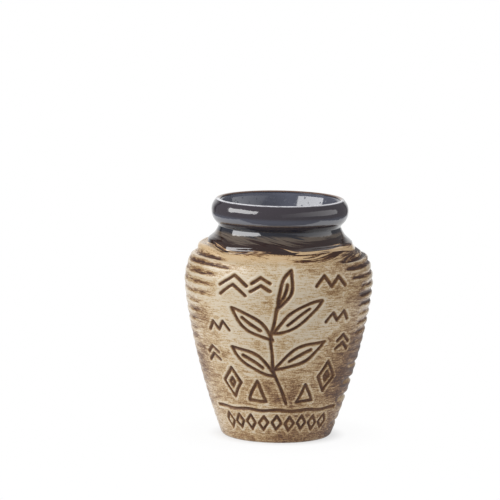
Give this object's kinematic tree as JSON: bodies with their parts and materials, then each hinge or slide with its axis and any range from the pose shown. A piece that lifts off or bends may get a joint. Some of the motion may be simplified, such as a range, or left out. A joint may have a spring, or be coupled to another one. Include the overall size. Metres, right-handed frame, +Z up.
{
  "type": "mate cup",
  "caption": "Small jar-shaped stoneware cup for mate tea, with a rolled lip, ribbed sides, a smooth front panel and dark glaze inside and over the rim.",
  "frame": {"origin": "centre of the cup in the plane that its foot ring stands on", "axes": "+Z up along the cup's axis, through the mouth; the smooth front panel faces -Y"},
  "size_m": [0.0798, 0.08, 0.101],
  "materials": {
    "stoneware": "satin, brown oxide wash wiped off the high places",
    "lining": "gloss",
    "rim": "gloss, breaking to brown at its thin edges"
  },
  "bodies": {
    "root": {"stoneware_body": "stoneware", "liner_glaze": "lining", "rim_glaze": "rim"}
  },
  "joints": []
}
